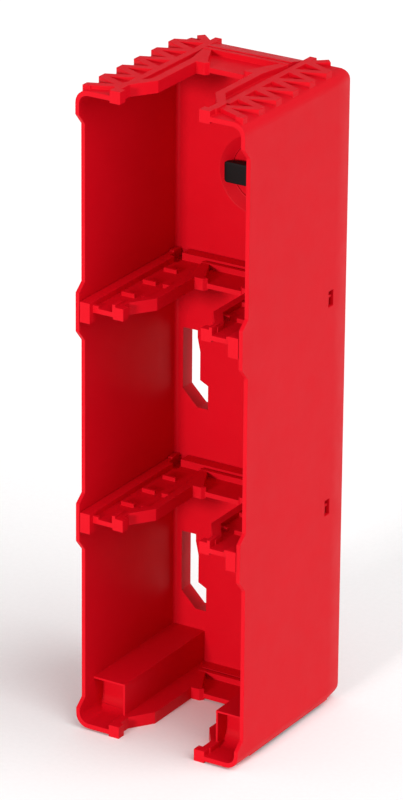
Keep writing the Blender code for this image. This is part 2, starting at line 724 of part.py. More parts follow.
def back_ribs(level):
    """Cross ribs above and below a shelf level, and a pair of hook cleats in the bay below."""
    middle = level_middle(level)
    span = (-INNER_HALF, INNER_HALF)
    depths = (PANEL_BACK - SINK, RIM_BACK)
    ribs = []
    for name, low in (("above", middle + BACK_RIB_ABOVE), ("below", middle - BACK_RIB_BELOW - BACK_RIB)):
        ribs.append(box(f"back_rib_{name}_{level}", span, depths, (low, low + BACK_RIB)))
    root = middle - CLEAT_BELOW
    hook = [
        (PANEL_BACK - SINK, root),
        (PANEL_BACK - SINK, root + CLEAT_THICKNESS),
        (RIM_BACK, root + CLEAT_THICKNESS),
        (RIM_BACK, root - CLEAT_LIP),
        (RIM_BACK - CLEAT_THICKNESS, root - CLEAT_LIP),
        (RIM_BACK - CLEAT_THICKNESS, root),
    ]
    low, high = CLEAT_SPAN
    ribs.append(prism(f"cleat_right_{level}", "X", hook, low, high))
    ribs.append(prism(f"cleat_left_{level}", "X", hook, -high, -low))
    return ribs


def rack_body(look):
    """The one-piece moulded body."""
    draw_start = RACK_DEPTH - REAR_DRAW_LENGTH
    sections = [(-OVERRUN, HALF_WIDTH, BASE, TOP, CORNER_RADIUS)]
    sections += drawn_sections(draw_start, RACK_DEPTH + OVERRUN, HALF_WIDTH, BASE, TOP, CORNER_RADIUS)
    body = loft("shell", sections)
    combine(body, "INTERSECT", [prism("side_profile", "X", side_profile(), -RACK_WIDTH, RACK_WIDTH)])
    slots = [slot_cutter("floor_slot", 0), slot_cutter("top_slot", BAYS)]
    combine(body, "DIFFERENCE", [front_hollow(), rear_hollow()] + slots)
    added = rails("floor", 0, 0) + rails("top", BAYS, 0)
    added += [rear_bar("floor", 0, PANEL_FRONT + SINK), top_bar()]
    added += top_ribs() + floor_deck() + [floor_box("box_right", 1), floor_box("box_left", -1)]
    removed = box_hollows()
    for level in range(1, BAYS):
        ledges, holes = side_features(level)
        collars, windows = window_parts(level)
        added += ledges + collars + back_ribs(level)
        removed += holes + windows
    cup, bowl = dish_parts()
    combine(body, "UNION", added + cup)
    combine(body, "DIFFERENCE", removed + bowl)
    return finish(body, "rack_body", look)


def shelf_flange(level, side):
    """A side flange, hollow from below, with its snap barb; side 1 is right and -1 left."""
    middle = level_middle(level)
    outer = side * SHELF_HALF
    inner = side * FLANGE_INNER
    low = middle - FLANGE_BELOW
    high = middle + FLANGE_ABOVE
    flange = box(f"flange_{level}_{side}", sorted((inner, outer)), (0, SHELF_BACK - BEAM_CORNER), (low, high))
    span = sorted((inner + side * FLANGE_WALL, outer - side * FLANGE_WALL))
    hollow = box(
        f"flange_hollow_{level}_{side}",
        span,
        (FLANGE_FACE, BEAM_FRONT - FLANGE_FACE),
        (low - OVERRUN, high - FLANGE_WALL),
    )
    combine(flange, "DIFFERENCE", [hollow])
    barb_back = PANEL_FRONT - SNAP_SETBACK + SNAP_WIDTH - CLEARANCE * 2
    barb_top = middle - BARB_TOP
    barb = [
        (side * (SHELF_HALF - SINK), barb_top - BARB_HEIGHT),
        (side * SHELF_HALF, barb_top - BARB_HEIGHT),
        (side * (SHELF_HALF + BARB_OUT), barb_top - BARB_HEIGHT / 2),
        (side * (SHELF_HALF + BARB_OUT), barb_top),
        (side * (SHELF_HALF - SINK), barb_top),
    ]
    return [flange, prism(f"barb_{level}_{side}", "Y", barb, barb_back - BARB_LENGTH, barb_back)]


def cross_ribs(level):
    """Short ribs across both arms of a shelf: three outer and two inner ones on each side."""
    high = level_base(level) + PLATE + CROSS_RIB_HEIGHT
    low = level_base(level) + SINK
    ribs = []
    outer_end = FLANGE_INNER - OUTER_RIB_GAP
    inner_start = RAIL_OUTER - INNER_RIB_SINK
    rows = (
        ((outer_end - OUTER_RIB_LENGTH, outer_end), 3),
        ((inner_start, inner_start + INNER_RIB_LENGTH), 2),
    )
    for row, (span, count) in enumerate(rows):
        for i in range(count):
            front = CROSS_RIB_FIRST + i * CROSS_RIB_STEP
            depths = (front, front + CROSS_RIB_WIDTH)
            ribs += both_sides(f"cross_rib_{level}_{row}_{i}", span, depths, (low, high))
    return ribs


def front_nubs(level):
    """The nub and the spur that stand on each arm's front edge."""
    plate_top = level_base(level) + PLATE
    low = level_base(level) + SINK
    rail_top = level_base(level) - RAIL_DROP + RAIL_HEIGHT
    nub_span = (FLANGE_INNER - NUB_WIDTH, FLANGE_INNER + SINK)
    nub_depths = (ARM_SETBACK, ARM_SETBACK + NUB_DEPTH)
    nubs = both_sides(f"nub_{level}", nub_span, nub_depths, (low, plate_top + NUB_HEIGHT))
    spur_outer = THROAT_HALF + HORN_WIDTH + CLEARANCE
    spur_span = (spur_outer - SPUR_WIDTH, spur_outer)
    spur_depths = (ARM_SETBACK, ARM_SETBACK + SPUR_DEPTH)
    return nubs + both_sides(f"spur_{level}", spur_span, spur_depths, (low, rail_top + SPUR_RISE))


def shelf(level, name, look):
    """A slotted shelf with its flanges, rails, ribs and rear beam."""
    base = level_base(level)
    middle = level_middle(level)
    half = slot_edge(ARM_SETBACK)
    edge = FLANGE_INNER + SINK
    outline = [(edge, ARM_SETBACK)] + half + mirrored(half)[::-1]
    outline += [(-edge, ARM_SETBACK), (-edge, BEAM_FRONT + SINK), (edge, BEAM_FRONT + SINK)]
    plate = prism(f"plate_{level}", "Z", outline, base, base + PLATE)
    added = rails(f"shelf_{level}", level, ARM_SETBACK) + cross_ribs(level) + front_nubs(level)
    added.append(rear_bar(f"shelf_{level}", level, BEAM_FRONT + SINK))
    beam_plan = [
        (SHELF_HALF, BEAM_FRONT),
        (SHELF_HALF, SHELF_BACK - BEAM_CORNER),
        (SHELF_HALF - BEAM_CORNER, SHELF_BACK),
    ]
    beam_plan += mirrored(beam_plan)[::-1]
    added.append(prism(f"beam_{level}", "Z", beam_plan, base - BEAM_DROP, base + BEAM_RISE))
    for side in (-1, 1):
        added += shelf_flange(level, side)
    combine(plate, "UNION", added)
    pocket_low = middle - POCKET_DROP
    pocket_depths = (SHELF_BACK - POCKET_LENGTH, SHELF_BACK + OVERRUN)
    pocket_heights = (pocket_low, base + BEAM_RISE + OVERRUN)
    removed = both_sides(f"shelf_pocket_{level}", POCKET_SPAN, pocket_depths, pocket_heights)
    removed += [
        disc(
            f"boss_bore_{level}_{side}",
            (side * SHELF_SCREW_X, middle - SHELF_SCREW_DROP),
            SHELF_SCREW_RADIUS + CLEARANCE,
            (PANEL_BACK - SHELF_SCREW_LENGTH, SHELF_BACK + OVERRUN),
            segments=24,
        )
        for side in (-1, 1)
    ]
    combine(plate, "DIFFERENCE", removed)
    return finish(plate, name, look)


def screw(name, centre, seat, sizes, look):
    """A pan-head screw driven forward from behind: sizes are shank radius, length, head radius and height."""
    radius, length, head_radius, head_height = sizes
    shank = disc(f"{name}_shank", centre, radius, (seat - length, seat + head_height / 2), segments=24)
    top_radius = head_radius * HEAD_TOP_SHARE
    head = disc(f"{name}_head", centre, head_radius, (seat, seat + head_height), top_radius, segments=32)
    drive_depth = head_height * DRIVE_DEPTH_SHARE
    drive_depths = (seat + head_height - drive_depth, seat + head_height + OVERRUN)
    drive = disc(f"{name}_drive", centre, DRIVE_RADIUS, drive_depths, segments=6)
    combine(head, "UNION", [shank])
    combine(head, "DIFFERENCE", [drive])
    return finish(head, name, look)


def shelf_screws(look):
    """Two screws for each shelf, through the back panel."""
    sizes = (SHELF_SCREW_RADIUS, SHELF_SCREW_LENGTH, SHELF_HEAD_RADIUS, SHELF_HEAD_HEIGHT)
    for level, shelf_name in ((1, "lower"), (2, "upper")):
        for side, side_name in ((-1, "left"), (1, "right")):
            centre = (side * SHELF_SCREW_X, level_middle(level) - SHELF_SCREW_DROP)
            screw(f"{shelf_name}_shelf_screw_{side_name}", centre, PANEL_BACK + CLEARANCE, sizes, look)


def lock_knob(look):
    """The knob: a grip with slanted ends on a hub, a stem through the dish and a square end for the cam."""
    centre = (0, LOCK_Z)
    hub = disc("knob_hub", centre, HUB_RADIUS, (HUB_FRONT, HUB_BACK), segments=64)
    grip_front = PANEL_FRONT - GRIP_PROUD
    plan = [
        (GRIP_HALF_LENGTH, grip_front),
        (GRIP_HALF_LENGTH, grip_front + GRIP_TIP_DEPTH),
        (GRIP_BASE_HALF_LENGTH, HUB_BACK - SINK),
    ]
    plan += mirrored(plan)[::-1]
    grip = prism("knob_grip", "Z", plan, LOCK_Z - GRIP_HEIGHT / 2, LOCK_Z + GRIP_HEIGHT / 2)
    rounding = grip.modifiers.new("Rounding", "BEVEL")
    rounding.width = GRIP_ROUNDING
    rounding.segments = 3
    stem_end = CAM_FRONT - CLEARANCE
    stem = disc("knob_stem", centre, STEM_RADIUS, (HUB_BACK - SINK, stem_end))
    half = STEM_SQUARE / 2
    square = box("knob_square", (-half, half), (stem_end - SINK, CAM_BACK), (LOCK_Z - half, LOCK_Z + half))
    combine(hub, "UNION", [grip, stem, square])
    bore_start = LOCK_HEAD_SEAT - LOCK_SCREW_LENGTH - CLEARANCE
    bore_depths = (bore_start, CAM_BACK + OVERRUN)
    bore = disc("knob_bore", centre, LOCK_SCREW_RADIUS + CLEARANCE, bore_depths, segments=24)
    combine(hub, "DIFFERENCE", [bore])
    return finish(hub, "lock_knob", look)


def ring(name, front, thickness, radius, bore, look):
    """A flat washer round the lock's axis."""
    centre = (0, LOCK_Z)
    plate = disc(f"{name}_plate", centre, radius, (front, front + thickness))
    hole = disc(f"{name}_hole", centre, bore, (front - OVERRUN, front + thickness + OVERRUN))
    combine(plate, "DIFFERENCE", [hole])
    return finish(plate, name, look)


def lock_cam(look):
    """The steel cam on the knob's square end, a bar with round ends."""
    reach = CAM_LENGTH / 2 - CAM_WIDTH / 2
    outline = arc((0, LOCK_Z + reach), CAM_WIDTH / 2, 0, 180, 2 * ARC_STEPS)
    outline += arc((0, LOCK_Z - reach), CAM_WIDTH / 2, 180, 360, 2 * ARC_STEPS)
    cam = prism("cam_plate", "Y", outline, CAM_FRONT, CAM_BACK)
    half = STEM_SQUARE / 2 + CLEARANCE
    heights = (LOCK_Z - half, LOCK_Z + half)
    hole = box("cam_hole", (-half, half), (CAM_FRONT - OVERRUN, CAM_BACK + OVERRUN), heights)
    combine(cam, "DIFFERENCE", [hole])
    return finish(cam, "lock_cam", look)


def lock_parts(black, zinc, spring):
    """The lock: two washers that stay on the dish floor, and the knob, cam, washer and screw that turn."""
    bore = STEM_RADIUS + CLEARANCE
    wave_front = HUB_BACK + CLEARANCE
    ring("wave_washer", wave_front, WAVE_WASHER_THICKNESS, WAVE_WASHER_RADIUS, bore, spring)
    ring("thrust_washer", THRUST_FRONT, THRUST_WASHER_THICKNESS, THRUST_WASHER_RADIUS, bore, zinc)
    screw_bore = LOCK_SCREW_RADIUS + CLEARANCE
    washer = ring(
        "lock_washer", LOCK_WASHER_FRONT, LOCK_WASHER_THICKNESS, LOCK_WASHER_RADIUS, screw_bore, spring
    )
    sizes = (LOCK_SCREW_RADIUS, LOCK_SCREW_LENGTH, LOCK_HEAD_RADIUS, LOCK_HEAD_HEIGHT)
    lock_screw = screw("lock_screw", (0, LOCK_Z), LOCK_HEAD_SEAT, sizes, zinc)
    turning = [lock_knob(black), lock_cam(zinc), washer, lock_screw]
    axis = bpy.data.objects.new("lock_axis", None)
    axis.location = across("Y", 0, LOCK_Z, DISH_BASE)
    rack.objects.link(axis)
    for piece in turning:
        piece.parent = axis
        piece.matrix_parent_inverse = Matrix.Translation(-axis.location)


def main():
    """Build every piece of the rack."""
    clear_scene()
    red = material("moulded_red_plastic", RACK_RED, 0.42, 0)
    rack_body(red)
    shelf(1, "lower_shelf", red)
    shelf(2, "upper_shelf", red)
    zinc = material("zinc_plated_steel", ZINC, 0.35, 1)
    shelf_screws(zinc)
    black = material("black_nylon", KNOB_BLACK, 0.5, 0)
    lock_parts(black, zinc, material("spring_steel", SPRING_STEEL, 0.3, 1))


main()
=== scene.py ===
"""The battery rack dressed for its photograph.

Rounded mouldings, screws, washers, materials, light and camera.
"""

import math

import bmesh
import bpy
from mathutils import Matrix, Vector

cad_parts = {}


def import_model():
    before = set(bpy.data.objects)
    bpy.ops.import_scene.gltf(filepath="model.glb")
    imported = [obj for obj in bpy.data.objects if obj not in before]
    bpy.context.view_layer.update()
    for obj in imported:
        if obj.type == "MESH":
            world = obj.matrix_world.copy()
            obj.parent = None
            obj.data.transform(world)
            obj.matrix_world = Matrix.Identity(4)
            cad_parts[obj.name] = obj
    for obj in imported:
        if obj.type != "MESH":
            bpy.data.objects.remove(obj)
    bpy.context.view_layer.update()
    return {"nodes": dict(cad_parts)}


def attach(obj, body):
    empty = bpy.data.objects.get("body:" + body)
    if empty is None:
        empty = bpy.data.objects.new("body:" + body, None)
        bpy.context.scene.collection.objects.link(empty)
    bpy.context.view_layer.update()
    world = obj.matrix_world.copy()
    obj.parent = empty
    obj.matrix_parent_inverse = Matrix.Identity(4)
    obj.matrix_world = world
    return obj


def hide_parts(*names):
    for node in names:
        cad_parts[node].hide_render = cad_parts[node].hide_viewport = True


MM = 0.001

# Depths run back from the front edge, as in the part's source.
RACK_DEPTH = 117.5 * MM
PANEL_BACK = 106 * MM
LOCK_Z = 320.9 * MM
LEVEL_MIDDLES = (132.2 * MM, 261.7 * MM)
MERGE_DISTANCE = 0.005 * MM

# Roundings of the edges, and the angles in degrees above which an edge is rounded and below which it is flat.
BODY_ROUNDING = 0.3 * MM
SHELF_ROUNDING = 0.3 * MM
KNOB_ROUNDING = 0.6 * MM
STEEL_ROUNDING = 0.25 * MM
THIN_STEEL_ROUNDING = STEEL_ROUNDING / 2
ROUNDING_ANGLE = 32
ROUNDING_SEGMENTS = 2
FLAT_ANGLE = 0.6
FLAT_FACE_WEIGHT = 90

# Free width beside an edge, in roundings, that its full rounding takes.
ROUNDING_ROOM = 2.3

# Sizes of the patterns in the surfaces; the rolling lines are this much finer across than along.
RED_FLOW = 40 * MM
RED_HANDLING = 14 * MM
RED_GRAIN = 0.7 * MM
BLACK_CLOUD = 9 * MM
BLACK_GRAIN = 0.5 * MM
GRAIN_DEPTH = 0.03 * MM
ZINC_CLOUD = 5 * MM
ROLLING_LINES = 5 * MM
ROLLING_STRETCH = 12
PAPER_MOTTLE = 3 * MM

# The middle span of a noise's values, which is spread over a range of roughness.
NOISE_SPAN = (0.3, 0.7)

# The paler edges, partly rub and partly painted highlight: width, strongest share, and the cosines at which
# they start and are full.
WEAR_AND_HIGHLIGHT_WIDTH = 0.5 * MM
WEAR_AND_HIGHLIGHT_SHARE = 0.3
WEAR_AND_HIGHLIGHT_COSINES = (0.97, 0.8)
WEAR_AND_HIGHLIGHT_SAMPLES = 4

# Screws, as (shank radius, length, head radius, head height).
SHELF_SCREW = (1.6 * MM, 8 * MM, 3.6 * MM, 2 * MM)
SHELF_SCREW_X = 35 * MM
SHELF_SCREW_DROP = 1.2 * MM
SHELF_HEAD_SEAT = PANEL_BACK + 0.3 * MM
LOCK_SCREW = (1.5 * MM, 7 * MM, 4 * MM, 1.6 * MM)
LOCK_HEAD_SEAT = 115.5 * MM

# Shares of a screw's sizes for its thread, tip, head and driver recess.
THREAD_PITCH_SHARE = 0.55
THREAD_ROOT_SHARE = 0.8
THREAD_CREST_SHARES = (0.3, 0.65)
TIP_SHARE = 0.45
HEAD_RIM_SHARE = 0.35
HEAD_DOME_SHARE = 0.3
RECESS_SHARE = 0.36
RECESS_DEPTH_SHARE = 0.65

# Facets of a screw, the step of its domed head in degrees, and the seed of the shelf screws' turns.
RECESS_SIDES = 6
SCREW_SIDES = 32
DOME_STEP = 15
SCREW_TURN_SEED = 7

# Washers round the lock's axis, as (outer radius, bore radius).
WAVE_WASHER = (9 * MM, 5.3 * MM)
WAVE_WASHER_FRONT = 107.9 * MM
WAVE_WASHER_SPACE = 0.5 * MM
WAVE_WASHER_METAL = 0.25 * MM
WAVES = 3
LOCK_WASHER = (4.6 * MM, 1.8 * MM)
LOCK_WASHER_FRONT = 114.6 * MM
LOCK_WASHER_SPACE = 0.6 * MM
LOCK_WASHER_METAL = 0.48 * MM
LOCK_WASHER_SPLIT = 0.12
WASHER_STEPS = 96

# The camera, fitted to the straight edges of the photograph.
CAMERA_AZIMUTH = 31.5
CAMERA_ELEVATION = 22.5
CAMERA_ROLL = 0.5
CAMERA_DISTANCE = 2900 * MM
CAMERA_REACH = 100
CAMERA_LENS = 228
CAMERA_TARGET = Vector((-7.2 * MM, 0, 196.5 * MM))

# Studio light: two soft lights, as (azimuth, elevation, spread in degrees, strength), and an even surround.
SIDE_LIGHT = (90, 47, 65, 2.0)
FRONT_LIGHT = (-1, 12, 8, 2.2)
SURROUND_STRENGTH = 0.5

# Half the floor's width, in metres.
FLOOR_HALF = 20


def at_depth(x, depth, z):
    """A point of the rack from X, its depth behind the front edge, and Z."""
    return Vector((x, depth - RACK_DEPTH / 2, z))


def add_object(name, data):
    """A new object of this data, linked to the scene."""
    made = bpy.data.objects.new(name, data)
    bpy.context.scene.collection.objects.link(made)
    return made


def mesh_from(shape, name):
    """The bmesh as a mesh; the bmesh goes."""
    mesh = bpy.data.meshes.new(name)
    shape.to_mesh(mesh)
    shape.free()
    return mesh


# Materials


def srgb(code):
    """Linear colour with alpha from a hex sRGB code."""
    channels = [int(code[i:i + 2], 16) / 255 for i in (1, 3, 5)]
    return (*[((c + 0.055) / 1.055) ** 2.4 if c > 0.04045 else c / 12.92 for c in channels], 1)


def add_node(tree, kind, settings=None, inputs=None):
    """Add a node, set its properties, and set or link its inputs; a link is given as (node, output name)."""
    node = tree.nodes.new(kind)
    for key, value in (settings or {}).items():
        setattr(node, key, value)
    for key, value in (inputs or {}).items():
        if isinstance(value, tuple) and len(value) == 2 and isinstance(value[0], bpy.types.Node):
            tree.links.new(value[0].outputs[value[1]], node.inputs[key])
        else:
            node.inputs[key].default_value = value
    return node


def start_material(name, sockets):
    """A new material with these sockets set: (material, tree, shader, object coordinates as a link)."""
    made = bpy.data.materials.new(name)
    made.use_nodes = True
    tree = made.node_tree
    shader = tree.nodes["Principled BSDF"]
    for key, value in sockets.items():
        shader.inputs[key].default_value = value
    return made, tree, shader, (add_node(tree, "ShaderNodeTexCoord"), "Object")


def noise(tree, where, size, detail, roughness=0.5):
    """Noise whose features are about this size in metres."""
    return add_node(
        tree,
        "ShaderNodeTexNoise",
        inputs={"Vector": where, "Scale": 1 / size, "Detail": detail, "Roughness": roughness},
    )


def blend(tree, factor, first, second):
    """A mix of two colours by a linked factor."""
    return add_node(
        tree, "ShaderNodeMix", {"data_type": "RGBA"}, {"Factor": factor, "A": first, "B": second}
    )


def tint_by(tree, shader, pattern, first, second):
    """Colour the shader between two sRGB codes by a noise."""
    tint = blend(tree, (pattern, "Fac"), srgb(first), srgb(second))
    tree.links.new(tint.outputs["Result"], shader.inputs["Base Color"])


def roughen_by(tree, shader, pattern, low, high):
    """Set the shader's roughness between two values by the middle span of a noise."""
    start, end = NOISE_SPAN
    spread = add_node(
        tree,
        "ShaderNodeMapRange",
        inputs={"Value": (pattern, "Fac"), "From Min": start, "From Max": end, "To Min": low, "To Max": high},
    )
    tree.links.new(spread.outputs["Result"], shader.inputs["Roughness"])


def add_grain(tree, shader, pattern, strength):
    """Raise a fine noise as bumps on the shader."""
    bump = add_node(
        tree,
        "ShaderNodeBump",
        inputs={"Height": (pattern, "Fac"), "Strength": strength, "Distance": GRAIN_DEPTH},
    )
    tree.links.new(bump.outputs["Normal"], shader.inputs["Normal"])


def moulded_red():
    """Glass-filled polypropylene, injection moulded in a spark-eroded tool.

    The tool's texture scatters the gloss into a soft satin. The grain is about 0.3 mm in life and is drawn at
    0.7 mm so that it shows. Flow from the gates leaves the colour a little uneven over some 40 mm, and edges
    are painted paler, partly as rub and partly as a painted highlight.
    """
    made, tree, shader, where = start_material(
        "moulded_red_polypropylene", {"IOR": 1.49, "Specular IOR Level": 0.08}
    )
    flow = noise(tree, where, RED_FLOW, 2)
    tint = blend(tree, (flow, "Fac"), srgb("#CA0718"), srgb("#D10A1D"))
    # Edges painted paler: partly rub, partly painted highlight.
    wear_and_highlight_mask = edge_wear_and_painted_highlight(tree)
    worn_and_highlighted = blend(tree, (wear_and_highlight_mask, "Result"), (tint, "Result"), srgb("#E02A38"))
    tree.links.new(worn_and_highlighted.outputs["Result"], shader.inputs["Base Color"])
    handled = noise(tree, where, RED_HANDLING, 3, 0.6)
    roughen_by(tree, shader, handled, 0.42, 0.52)
    grain = noise(tree, where, RED_GRAIN, 2, 0.6)
    add_grain(tree, shader, grain, 0.25)
    return made


def edge_wear_and_painted_highlight(tree):
    """A mask that rises on edges, where the normal rounded over its width leaves the true one; it paints
    edges paler, partly as wear and partly as a painted highlight.
    """
    rounded = add_node(tree, "ShaderNodeBevel", {"samples": WEAR_AND_HIGHLIGHT_SAMPLES}, {"Radius": WEAR_AND_HIGHLIGHT_WIDTH})
    true = add_node(tree, "ShaderNodeNewGeometry")
    match = add_node(
        tree,
        "ShaderNodeVectorMath",
        {"operation": "DOT_PRODUCT"},
        {0: (rounded, "Normal"), 1: (true, "Normal")},
    )
    start, full = WEAR_AND_HIGHLIGHT_COSINES
    return add_node(
        tree,
        "ShaderNodeMapRange",
        inputs={
            "Value": (match, "Value"),
            "From Min": start,
            "From Max": full,
            "To Min": 0,
            "To Max": WEAR_AND_HIGHLIGHT_SHARE,
        },
    )


def moulded_black():
    """Glass-filled nylon, moulded black with a fine matt grain that catches a broad, dull highlight."""
    made, tree, shader, where = start_material(
        "moulded_black_nylon", {"IOR": 1.53, "Specular IOR Level": 0.12}
    )
    cloud = noise(tree, where, BLACK_CLOUD, 3)
    tint_by(tree, shader, cloud, "#0E0D0D", "#171515")
    roughen_by(tree, shader, cloud, 0.44, 0.56)
    grain = noise(tree, where, BLACK_GRAIN, 2)
    add_grain(tree, shader, grain, 0.35)
    return made


def zinc_plate():
    """Zinc-plated, passivated steel: pale blue-grey, slightly dull, with straw-coloured clouds of 5 mm."""
    made, tree, shader, where = start_material("zinc_plated_steel", {"Metallic": 1})
    cloud = noise(tree, where, ZINC_CLOUD, 4, 0.6)
    tint_by(tree, shader, cloud, "#AEB6BE", "#C9C3AE")
    roughen_by(tree, shader, cloud, 0.26, 0.42)
    return made


def rolled_spring_steel():
    """Bare rolled spring steel: grey, with fine rolling lines about 0.4 mm apart along one way."""
    made, tree, shader, where = start_material(
        "rolled_spring_steel", {"Metallic": 1, "Base Color": srgb("#8B8D90")}
    )
    stretch = add_node(
        tree, "ShaderNodeMapping", inputs={"Vector": where, "Scale": (1, 1, ROLLING_STRETCH)}
    )
    lines = noise(tree, (stretch, "Vector"), ROLLING_LINES, 3)
    roughen_by(tree, shader, lines, 0.24, 0.4)
    return made


def pale_floor():
    """Matt white studio paper, very slightly mottled over some 3 mm."""
    made, tree, shader, where = start_material(
        "white_studio_paper", {"Roughness": 0.9, "Specular IOR Level": 0.1}
    )
    mottle = noise(tree, where, PAPER_MOTTLE, 2)
    tint_by(tree, shader, mottle, "#F7F7F7", "#FDFDFD")
    return made


# Mouldings and steel parts


def rounded_copy(node, name, rounding, look):
    """A cleaned copy of a CAD node with its hard edges rounded, in place of the node."""
    shape = bmesh.new()
    shape.from_mesh(node.data)
    bmesh.ops.remove_doubles(shape, verts=shape.verts, dist=MERGE_DISTANCE)
    bmesh.ops.dissolve_limit(
        shape, angle_limit=math.radians(FLAT_ANGLE), verts=shape.verts, edges=shape.edges
    )
    weigh_edges(shape, rounding)
    bmesh.ops.connect_verts_concave(shape, faces=shape.faces)
    mesh = mesh_from(shape, name)
    mesh.shade_smooth()
    mesh.materials.append(look)
    piece = add_object(name, mesh)
    soften(piece, rounding)
    return piece


def weigh_edges(shape, rounding):
    """Weigh each hard edge, so that two roundings fit side by side on the faces next to it."""
    weights = shape.edges.layers.float.new("bevel_weight_edge")
    for edge in shape.edges:
        if len(edge.link_faces) == 2 and edge.calc_face_angle() > math.radians(ROUNDING_ANGLE):
            room = min(room_beside(loop, rounding) for loop in edge.link_loops)
            edge[weights] = min(1, room / (ROUNDING_ROOM * rounding))


def room_beside(loop, reach):
    """Free width of a face beside one of its edges, up to the face's other edges and corners."""
    start = loop.vert.co
    along = loop.link_loop_next.vert.co - start
    length = along.length
    along.normalize()
    inward = loop.face.normal.cross(along)
    room = math.inf
    for other in loop.face.loops:
        near, far = [
            ((vertex.co - start).dot(along), (vertex.co - start).dot(inward))
            for vertex in (other.vert, other.link_loop_next.vert)
        ]
        if {other, other.link_loop_next} & {loop, loop.link_loop_next}:
            corners = [near, far]
        else:
            corners = [between(near, far, limit) for limit in (-reach, length + reach)] + [near, far]
        for spot, depth in corners:
            if depth > MERGE_DISTANCE and -reach <= spot <= length + reach:
                room = min(room, depth)
    return room


def between(near, far, spot):
    """The point (spot, depth) where a segment crosses a spot along an edge; its near end where it doesn't."""
    run = far[0] - near[0]
    share = (spot - near[0]) / run if run else 0
    if not 0 <= share <= 1:
        return near
    return spot, near[1] + share * (far[1] - near[1])


def soften(piece, rounding):
    """Round a piece's hard edges and keep its flat faces flat in the light."""
    edge = piece.modifiers.new("Rounded edges", "BEVEL")
    edge.width = rounding
    edge.segments = ROUNDING_SEGMENTS
    edge.limit_method = "WEIGHT"
    edge.use_clamp_overlap = False
    flats = piece.modifiers.new("Flat faces", "WEIGHTED_NORMAL")
    flats.weight = FLAT_FACE_WEIGHT


def dress(piece, body, slot, *nodes):
    """Let a piece stand for its CAD nodes and move with their body."""
    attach(piece, body)
    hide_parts(*nodes)


def mouldings(frame, red, black):
    """The body, both shelves and the knob."""
    nodes = frame["nodes"]
    body = rounded_copy(nodes["rack_body"], "rack_moulding", BODY_ROUNDING, red)
    dress(body, "rack", "red_plastic", "rack_body")
    for shelf in ("upper_shelf", "lower_shelf"):
        piece = rounded_copy(nodes[shelf], f"{shelf}_moulding", SHELF_ROUNDING, red)
        dress(piece, "rack", "red_plastic", shelf)
    knob = rounded_copy(nodes["lock_knob"], "knob_moulding", KNOB_ROUNDING, black)
    dress(knob, "lock", "black_plastic", "lock_knob")


def smooth_object(shape, name, look):
    """The bmesh as an object that is smooth between its hard edges."""
    bmesh.ops.recalc_face_normals(shape, faces=shape.faces)
    mesh = mesh_from(shape, name)
    mesh.materials.append(look)
    mesh.shade_smooth()
    mesh.set_sharp_from_angle(angle=math.radians(ROUNDING_ANGLE))
    return add_object(name, mesh)


def ring(name, radii, thickness, lift, gap, look):
    """A washer round the Y axis, from its two radii.

    lift(angle) shifts it along Y, and a gap in radians splits it.
    """
    outer, inner = radii
    shape = bmesh.new()
    rings = []
    for i in range(WASHER_STEPS + 1):
        angle = gap / 2 + (math.tau - gap) * i / WASHER_STEPS
        side = Vector((math.cos(angle), 0, math.sin(angle)))
        front = Vector((0, lift(angle), 0))
        back = front + Vector((0, thickness, 0))
        bore, rim = side * inner, side * outer
        rings.append([shape.verts.new(p) for p in (bore + front, rim + front, rim + back, bore + back)])
    if not gap:
        for vertex in rings.pop():
            shape.verts.remove(vertex)
        rings.append(rings[0])
    for near, far in zip(rings, rings[1:]):
        for j in range(len(near)):
            shape.faces.new((near[j - 1], near[j], far[j], far[j - 1]))
    if gap:
        shape.faces.new(rings[0])
        shape.faces.new(rings[-1][::-1])
    return smooth_object(shape, name, look)


def place(piece, point):
    """Move a piece's mesh to a point of the rack and leave its object at the origin."""
    piece.data.transform(Matrix.Translation(point))


def washers(frame, zinc, spring):
    """The waved spring washer, the plain thrust washer and the split lock washer."""
    swing = (WAVE_WASHER_SPACE - WAVE_WASHER_METAL) / 2
    wave = ring(
        "wave_spring_washer",
        WAVE_WASHER,
        WAVE_WASHER_METAL,
        lambda angle: swing * (1 + math.sin(WAVES * angle)),
        0,
        spring,
    )
    place(wave, at_depth(0, WAVE_WASHER_FRONT, LOCK_Z))
    dress(wave, "rack", "spring_steel", "wave_washer")
    node = frame["nodes"]["thrust_washer"]
    thrust = rounded_copy(node, "plain_thrust_washer", THIN_STEEL_ROUNDING, zinc)
    dress(thrust, "rack", "zinc_steel", "thrust_washer")
    rise = LOCK_WASHER_SPACE - LOCK_WASHER_METAL
    split = ring(
        "split_lock_washer",
        LOCK_WASHER,
        LOCK_WASHER_METAL,
        lambda angle: rise * angle / math.tau,
        LOCK_WASHER_SPLIT,
        spring,
    )
    place(split, at_depth(0, LOCK_WASHER_FRONT, LOCK_Z))
    dress(split, "lock", "spring_steel", "lock_washer")


# Screws, made once as a turned profile with a driver recess and set on their points by Geometry Nodes


def turned_profile(points, name, look):
    """A closed solid turned round the Y axis from (radius, depth) points, first and last on the axis."""
    shape = bmesh.new()
    angles = [math.tau * i / SCREW_SIDES for i in range(SCREW_SIDES)]
    rings = []
    for radius, depth in points:
        places = [(radius * math.cos(a), depth, radius * math.sin(a)) for a in angles]
        if not radius:
            places = [(0, depth, 0)]
        rings.append([shape.verts.new(place) for place in places])
    for near, far in zip(rings, rings[1:]):
        for i in range(SCREW_SIDES):
            corners = [near[i - 1], near[i]] if len(near) > 1 else [near[0]]
            corners += [far[i], far[i - 1]] if len(far) > 1 else [far[0]]
            shape.faces.new(corners)
    return smooth_object(shape, name, look)


